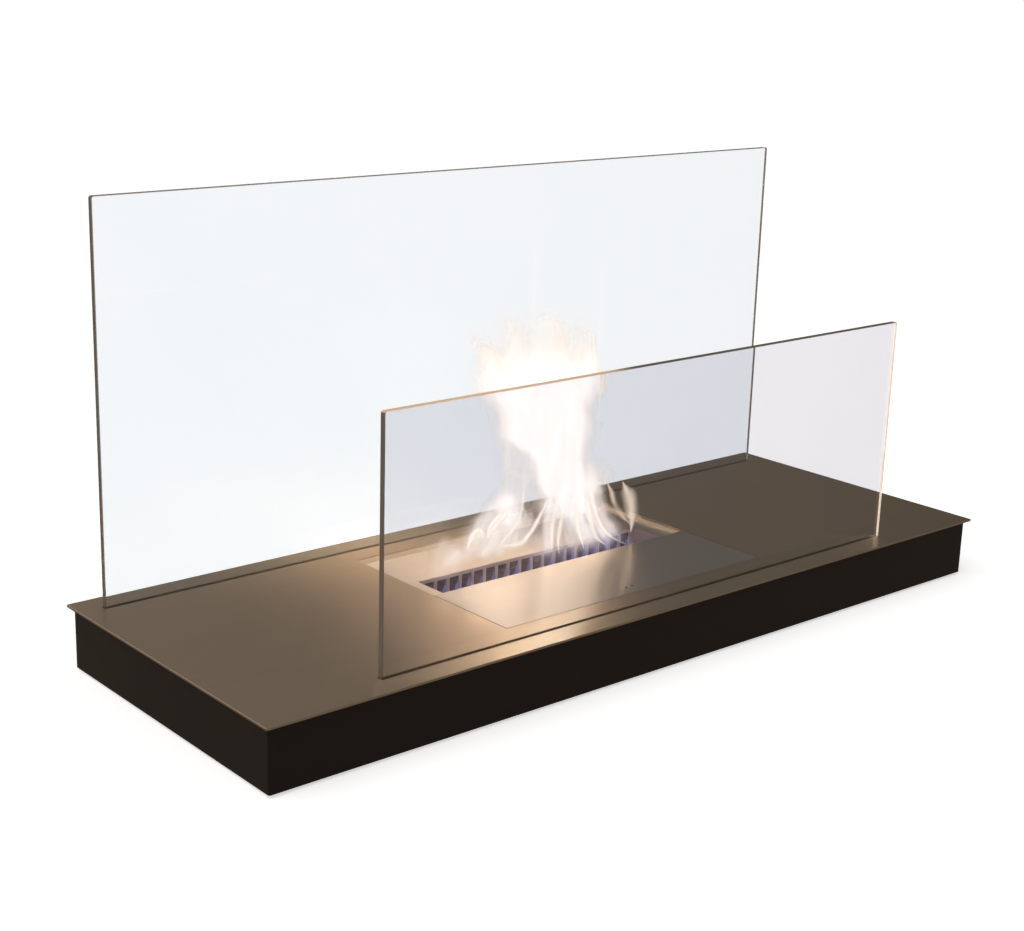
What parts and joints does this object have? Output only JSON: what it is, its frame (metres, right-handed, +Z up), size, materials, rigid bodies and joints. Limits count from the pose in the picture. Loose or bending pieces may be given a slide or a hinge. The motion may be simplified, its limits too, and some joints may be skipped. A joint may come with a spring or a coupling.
{
  "type": "bioethanol fireplace",
  "caption": "Low rectangular bioethanol fireplace: dark tray, brushed steel top with a flush sliding burner cover, and glass panes standing in slots behind and before the flame.",
  "frame": {"origin": "on the floor under the middle of the top plate", "axes": "+Z up, +X along the length to the right seen from the short pane, +Y from the short pane to the tall one"},
  "size_m": [0.9, 0.33, 0.433],
  "materials": {
    "plate_steel": "brushed along the length",
    "cover_steel": "brushed along the length",
    "burner_steel": "satin, heat tinted",
    "liner_steel": "satin, heat blued",
    "folded_steel": "mill finish",
    "plated_steel": "zinc plated",
    "tray_paint": "satin powder coat",
    "pane_glass": "clear toughened, ground edges",
    "seal_rubber": "matt silicone",
    "foot_rubber": "matt",
    "board": "matt fibre board",
    "ceramic_wool": "matt fibre"
  },
  "bodies": {
    "frame": {"base_tray": "tray_paint", "top_plate": "plate_steel", "rim_studs": "plated_steel", "rim_nuts": "plated_steel", "channel_studs": "plated_steel", "channel_nuts": "plated_steel", "cross_rail_left": "folded_steel", "cross_rail_right": "folded_steel", "back_glass_channel": "folded_steel", "front_glass_channel": "folded_steel", "back_glass_gasket": "seal_rubber", "front_glass_gasket": "seal_rubber", "insulation_board": "board", "foot_screws": "plated_steel", "foot_nuts": "plated_steel", "foot_front_left": "foot_rubber", "foot_front_right": "foot_rubber", "foot_back_left": "foot_rubber", "foot_back_right": "foot_rubber"},
    "burner": {"burner_housing": "burner_steel", "burner_deck": "burner_steel", "flame_liner": "liner_steel", "fuel_tank": "burner_steel", "wool_base": "ceramic_wool", "wool_surround": "ceramic_wool", "wick_mesh": "liner_steel", "slider_stops": "plated_steel"},
    "cover": {"slider_cover": "cover_steel", "slider_guide_left": "burner_steel", "slider_guide_right": "burner_steel"},
    "back_pane": {"back_glass": "pane_glass"},
    "front_pane": {"front_glass": "pane_glass"}
  },
  "joints": [
    {"name": "cover_slide", "type": "slide", "parent": "burner", "child": "cover", "axis": [0, 1, 0], "range_m": [0, 0.06]},
    {"name": "burner_lift", "type": "slide", "parent": "frame", "child": "burner", "axis": [0, 0, 1], "range_m": [0, 0.075]},
    {"name": "back_pane_lift", "type": "slide", "parent": "frame", "child": "back_pane", "axis": [0, 0, 1], "range_m": [0, 0.06]},
    {"name": "front_pane_lift", "type": "slide", "parent": "frame", "child": "front_pane", "axis": [0, 0, 1], "range_m": [0, 0.06]}
  ]
}
